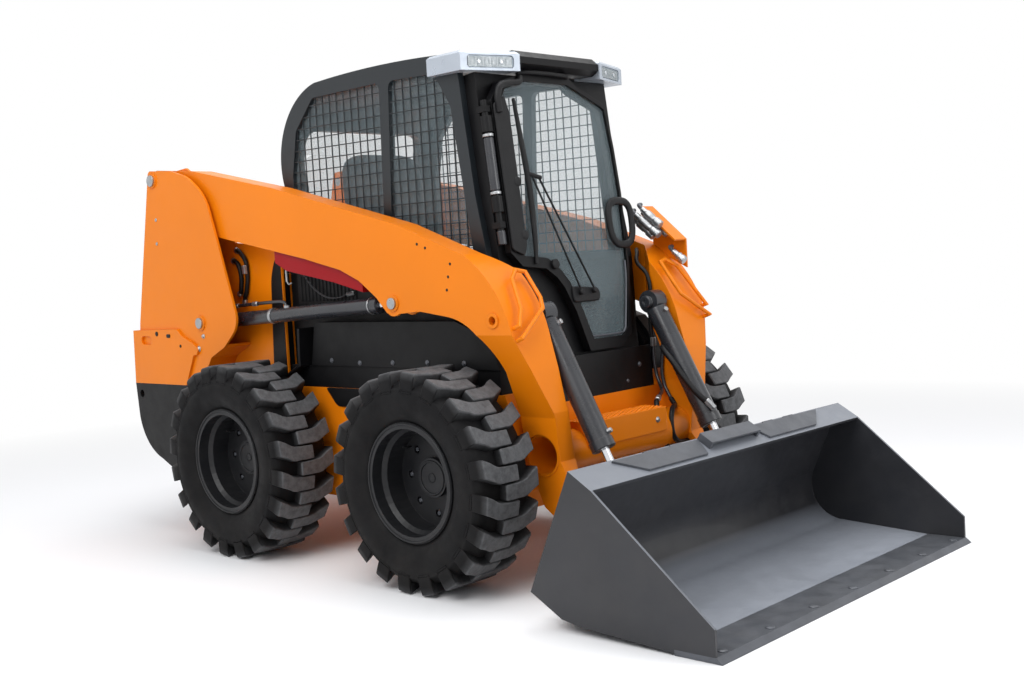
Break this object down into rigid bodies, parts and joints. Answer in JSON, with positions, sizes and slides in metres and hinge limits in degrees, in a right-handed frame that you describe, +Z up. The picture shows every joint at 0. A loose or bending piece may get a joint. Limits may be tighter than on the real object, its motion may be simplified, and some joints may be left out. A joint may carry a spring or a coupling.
{
  "type": "skid steer loader",
  "caption": "Compact four-wheel skid steer loader with a caged cab, twin lift arms hinged at rear towers, and a wide bucket on a coupler.",
  "frame": {"origin": "on the ground, under the middle of the overall length and width, bucket included", "axes": "+X forwards, along the longest extent; +Y to the machine's left, along the shortest extent; +Z up"},
  "size_m": [3.45, 1.738, 1.992],
  "materials": {
    "tyre": "black rubber with worn grey lugs",
    "rim": "charcoal satin paint",
    "orange_paint": "orange gloss paint",
    "black_paint": "black satin paint",
    "cab_paint": "dark grey-green satin paint",
    "pin_steel": "bare steel",
    "red_paint": "red gloss paint",
    "cylinder_paint": "dark grey gloss paint",
    "rod_chrome": "polished chrome",
    "bucket_paint": "dark grey paint, worn inside",
    "edge_steel": "worn dark steel",
    "window_glass": "clear, slightly green",
    "lamp_silver": "satin silver",
    "black_plastic": "grained black",
    "seat_cloth": "dark woven cloth"
  },
  "bodies": {
    "chassis": {"axle_housings": "black_paint", "cab_front": "black_paint", "cab_shell": "cab_paint", "cab_sides": "cab_paint", "cab_tub": "black_paint", "controls": "black_plastic", "corner_panels": "orange_paint", "door_post": "black_paint", "engine_block": "black_paint", "front_panel": "black_paint", "main_frame": "orange_paint", "rear_guard": "black_paint", "rear_window": "window_glass", "roof_visor": "black_paint", "seat_base": "black_plastic", "seat_cushions": "seat_cloth", "side_covers": "black_paint", "side_screens": "cab_paint", "side_windows": "window_glass", "tower_left": "orange_paint", "tower_pins": "pin_steel", "tower_right": "orange_paint", "work_lights": "lamp_silver"},
    "lift_arms": {"lift_arm_right": "orange_paint", "lift_arm_left": "orange_paint", "cross_tube": "orange_paint", "arm_pins": "pin_steel", "support_strut": "red_paint", "front_step": "orange_paint", "arm_couplers": "pin_steel"},
    "bucket": {"bucket_shell": "bucket_paint", "cutting_edge": "edge_steel", "coupler_frame": "bucket_paint", "lip_plates": "edge_steel"},
    "cab_door": {"door_frame": "black_paint", "door_glass": "window_glass", "door_handle": "black_plastic"},
    "engine_cover": {"engine_hood": "orange_paint"},
    "rear_door_panel": {"rear_door": "black_paint"},
    "wheel_front_right": {"tyre_front_right": "tyre", "rim_front_right": "rim"},
    "wheel_front_left": {"tyre_front_left": "tyre", "rim_front_left": "rim"},
    "wheel_rear_right": {"tyre_rear_right": "tyre", "rim_rear_right": "rim"},
    "wheel_rear_left": {"tyre_rear_left": "tyre", "rim_rear_left": "rim"},
    "lift_barrel_body_right": {"lift_barrel_right": "cylinder_paint"},
    "lift_rod_body_right": {"lift_rod_right": "rod_chrome"},
    "lift_barrel_body_left": {"lift_barrel_left": "cylinder_paint"},
    "lift_rod_body_left": {"lift_rod_left": "rod_chrome"},
    "tilt_barrel_body_right": {"tilt_barrel_right": "cylinder_paint"},
    "tilt_rod_body_right": {"tilt_rod_right": "rod_chrome"},
    "tilt_barrel_body_left": {"tilt_barrel_left": "cylinder_paint"},
    "tilt_rod_body_left": {"tilt_rod_left": "rod_chrome"}
  },
  "joints": [
    {"name": "wheel_front_right_spin", "type": "hinge", "parent": "chassis", "child": "wheel_front_right", "pos_m": [0.364, -0.69, 0.41], "axis": [0, 1, 0], "continuous": true},
    {"name": "wheel_front_left_spin", "type": "hinge", "parent": "chassis", "child": "wheel_front_left", "pos_m": [0.364, 0.69, 0.41], "axis": [0, 1, 0], "continuous": true},
    {"name": "wheel_rear_right_spin", "type": "hinge", "parent": "chassis", "child": "wheel_rear_right", "pos_m": [-0.774, -0.69, 0.41], "axis": [0, 1, 0], "continuous": true},
    {"name": "wheel_rear_left_spin", "type": "hinge", "parent": "chassis", "child": "wheel_rear_left", "pos_m": [-0.774, 0.69, 0.41], "axis": [0, 1, 0], "continuous": true},
    {"name": "lift", "type": "hinge", "parent": "chassis", "child": "lift_arms", "pos_m": [-1.467, 0, 1.645], "axis": [0, -1, 0], "range_deg": [0, 62]},
    {"name": "bucket_tilt", "type": "hinge", "parent": "lift_arms", "child": "bucket", "pos_m": [0.855, 0, 0.225], "axis": [0, -1, 0], "range_deg": [-102, 28]},
    {"name": "lift_barrel_right_swing", "type": "hinge", "parent": "chassis", "child": "lift_barrel_body_right", "pos_m": [-1.156, -0.547, 0.984], "axis": [0, -1, 0], "range_deg": [0, 58.91]},
    {"name": "lift_rod_right_slide", "type": "slide", "parent": "lift_barrel_body_right", "child": "lift_rod_body_right", "axis": [0.9986, 0, 0.0537], "range_m": [0, 0.7477]},
    {"name": "tilt_barrel_right_swing", "type": "hinge", "parent": "lift_arms", "child": "tilt_barrel_body_right", "pos_m": [0.643, -0.343, 0.99], "axis": [0, -1, 0], "range_deg": [-3.3, 1]},
    {"name": "tilt_rod_right_slide", "type": "slide", "parent": "tilt_barrel_body_right", "child": "tilt_rod_body_right", "axis": [0.4668, 0, -0.8844], "range_m": [-0.073, 0.263]},
    {"name": "lift_barrel_left_swing", "type": "hinge", "parent": "chassis", "child": "lift_barrel_body_left", "pos_m": [-1.156, 0.547, 0.984], "axis": [0, -1, 0], "range_deg": [0, 58.91]},
    {"name": "lift_rod_left_slide", "type": "slide", "parent": "lift_barrel_body_left", "child": "lift_rod_body_left", "axis": [0.9986, 0, 0.0537], "range_m": [0, 0.7477]},
    {"name": "tilt_barrel_left_swing", "type": "hinge", "parent": "lift_arms", "child": "tilt_barrel_body_left", "pos_m": [0.643, 0.343, 0.99], "axis": [0, -1, 0], "range_deg": [-3.3, 1]},
    {"name": "tilt_rod_left_slide", "type": "slide", "parent": "tilt_barrel_body_left", "child": "tilt_rod_body_left", "axis": [0.4668, 0, -0.8844], "range_m": [-0.073, 0.263]},
    {"name": "cab_door_hinge", "type": "hinge", "parent": "chassis", "child": "cab_door", "pos_m": [0.57, -0.41, 0.815], "axis": [0.1054, 0, -0.9944], "range_deg": [0, 80]},
    {"name": "engine_cover_hinge", "type": "hinge", "parent": "chassis", "child": "engine_cover", "pos_m": [-0.745, 0, 1.21], "axis": [0, 1, 0], "range_deg": [0, 60]},
    {"name": "rear_door_hinge", "type": "hinge", "parent": "chassis", "child": "rear_door_panel", "pos_m": [-1.711, 0.452, 0.59], "axis": [0, 0, -1], "range_deg": [0, 100]}
  ],
  "couplings": [
    {"joint": "lift_barrel_right_swing", "follows": "lift", "ratio": 0.947},
    {"joint": "lift_rod_right_slide", "follows": "lift", "m_per_rad": 0.69},
    {"joint": "tilt_barrel_right_swing", "follows": "bucket_tilt", "ratio": 0.031},
    {"joint": "tilt_rod_right_slide", "follows": "bucket_tilt", "m_per_rad": -0.147},
    {"joint": "lift_barrel_left_swing", "follows": "lift", "ratio": 0.947},
    {"joint": "lift_rod_left_slide", "follows": "lift", "m_per_rad": 0.69},
    {"joint": "tilt_barrel_left_swing", "follows": "bucket_tilt", "ratio": 0.031},
    {"joint": "tilt_rod_left_slide", "follows": "bucket_tilt", "m_per_rad": -0.147}
  ]
}
